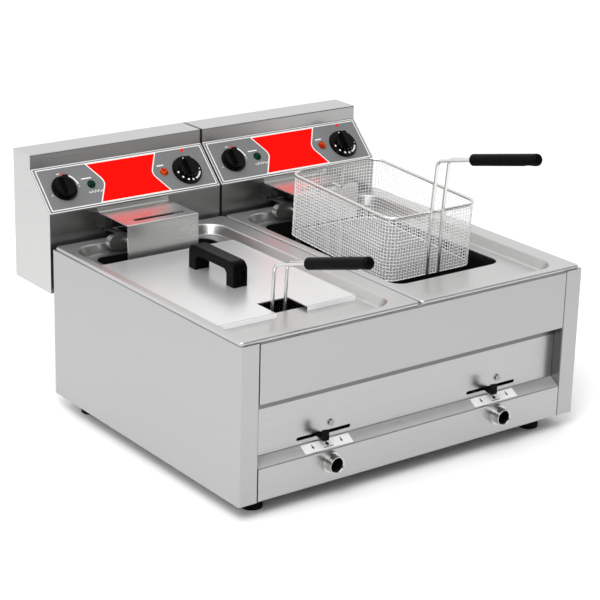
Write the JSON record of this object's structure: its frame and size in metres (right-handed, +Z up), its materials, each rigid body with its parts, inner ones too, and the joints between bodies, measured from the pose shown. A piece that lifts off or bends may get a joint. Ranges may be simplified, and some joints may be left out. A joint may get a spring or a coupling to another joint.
{
  "type": "twin-tank deep fryer",
  "caption": "Countertop twin-tank deep fryer with pressed drip wells, lift-out control heads, wire baskets, a notched lid and lever drains with spouts.",
  "frame": {"origin": "on the floor under the middle of the whole object's box", "axes": "+X to the user's right, +Y to the back, +Z up"},
  "size_m": [0.6, 0.67, 0.4542],
  "materials": {
    "panel_steel": "brushed",
    "plate_steel": "fine brushed",
    "tank_steel": "satin",
    "head_steel": "brushed",
    "guard_steel": "brushed",
    "lid_steel": "bright",
    "element_steel": "satin",
    "spout_steel": "satin",
    "screw_steel": "plated",
    "switch_steel": "plated",
    "net_wire": "plated wire",
    "frame_wire": "plated wire",
    "brass": "plain",
    "fascia": "printed grey and red",
    "label": "white",
    "rubber": "matt",
    "green_lens": "clear green",
    "orange_lens": "clear orange",
    "switch_plastic": "black",
    "terminal_plastic": "black",
    "knob_plastic": "black satin",
    "lever_black": "black",
    "grip_plastic": "black",
    "handle_plastic": "black"
  },
  "bodies": {
    "body": {"left_side_panel": "panel_steel", "right_side_panel": "panel_steel", "front_panel": "panel_steel", "drain_panel": "panel_steel", "base_panel": "panel_steel", "back_panel": "panel_steel", "feet": "rubber", "head_hangers": "panel_steel", "drain_labels": "label", "front_screws": "screw_steel", "left_top_plate": "plate_steel", "right_top_plate": "plate_steel", "left_tank": "tank_steel", "right_tank": "tank_steel", "left_drain_valve": "brass", "right_drain_valve": "brass", "left_drain_spout": "spout_steel", "right_drain_spout": "spout_steel"},
    "left_head": {"left_head_casing": "head_steel", "left_head_back_cover": "head_steel", "left_fascia": "fascia", "left_power_lamp": "green_lens", "left_heat_lamp": "orange_lens", "left_rotary_switch": "switch_plastic", "left_thermostat": "switch_steel", "left_terminal_block": "terminal_plastic", "left_head_screws": "screw_steel", "left_heating_element": "element_steel", "left_element_guard": "guard_steel", "left_cable_gland": "switch_plastic"},
    "right_head": {"right_head_casing": "head_steel", "right_head_back_cover": "head_steel", "right_fascia": "fascia", "right_power_lamp": "green_lens", "right_heat_lamp": "orange_lens", "right_rotary_switch": "switch_plastic", "right_thermostat": "switch_steel", "right_terminal_block": "terminal_plastic", "right_head_screws": "screw_steel", "right_heating_element": "element_steel", "right_element_guard": "guard_steel", "right_cable_gland": "switch_plastic"},
    "left_selector": {"left_selector_knob": "knob_plastic"},
    "left_thermostat_dial": {"left_thermostat_knob": "knob_plastic"},
    "left_drain": {"left_drain_lever": "lever_black", "left_drain_ball": "brass"},
    "left_basket": {"left_basket_net": "net_wire", "left_basket_frame": "frame_wire", "left_basket_grip": "grip_plastic"},
    "right_selector": {"right_selector_knob": "knob_plastic"},
    "right_thermostat_dial": {"right_thermostat_knob": "knob_plastic"},
    "right_drain": {"right_drain_lever": "lever_black", "right_drain_ball": "brass"},
    "right_basket": {"right_basket_net": "net_wire", "right_basket_frame": "frame_wire", "right_basket_grip": "grip_plastic"},
    "lid": {"lid": "lid_steel", "lid_handle": "handle_plastic"}
  },
  "joints": [
    {"name": "left_head_lift", "type": "slide", "parent": "body", "child": "left_head", "axis": [0, 0, 1], "range_m": [0, 0.16]},
    {"name": "left_basket_lift", "type": "slide", "parent": "left_head", "child": "left_basket", "axis": [0, 0, 1], "range_m": [0, 0.15]},
    {"name": "left_selector_turn", "type": "hinge", "parent": "left_head", "child": "left_selector", "pos_m": [-0.2608, 0.25327, 0.32571], "axis": [0, -0.6981, 0.716], "range_deg": [-90, 0]},
    {"name": "left_thermostat_turn", "type": "hinge", "parent": "left_head", "child": "left_thermostat_dial", "pos_m": [-0.0474, 0.25083, 0.32333], "axis": [0, -0.6981, 0.716], "range_deg": [-270, 0]},
    {"name": "left_drain_turn", "type": "hinge", "parent": "body", "child": "left_drain", "pos_m": [-0.15, -0.20551, 0.0915], "axis": [0, 0, 1], "range_deg": [-31, 55]},
    {"name": "right_head_lift", "type": "slide", "parent": "body", "child": "right_head", "axis": [0, 0, 1], "range_m": [0, 0.16]},
    {"name": "right_basket_lift", "type": "slide", "parent": "right_head", "child": "right_basket", "axis": [0, 0, 1], "range_m": [0, 0.1]},
    {"name": "right_selector_turn", "type": "hinge", "parent": "right_head", "child": "right_selector", "pos_m": [0.03995, 0.25327, 0.32571], "axis": [0, -0.6981, 0.716], "range_deg": [-90, 0]},
    {"name": "right_thermostat_turn", "type": "hinge", "parent": "right_head", "child": "right_thermostat_dial", "pos_m": [0.25335, 0.25083, 0.32333], "axis": [0, -0.6981, 0.716], "range_deg": [-270, 0]},
    {"name": "right_drain_turn", "type": "hinge", "parent": "body", "child": "right_drain", "pos_m": [0.15, -0.20551, 0.0915], "axis": [0, 0, 1], "range_deg": [-31, 55]},
    {"name": "lid_lift", "type": "slide", "parent": "left_basket", "child": "lid", "axis": [0, 0, 1], "range_m": [0, 0.15]}
  ]
}
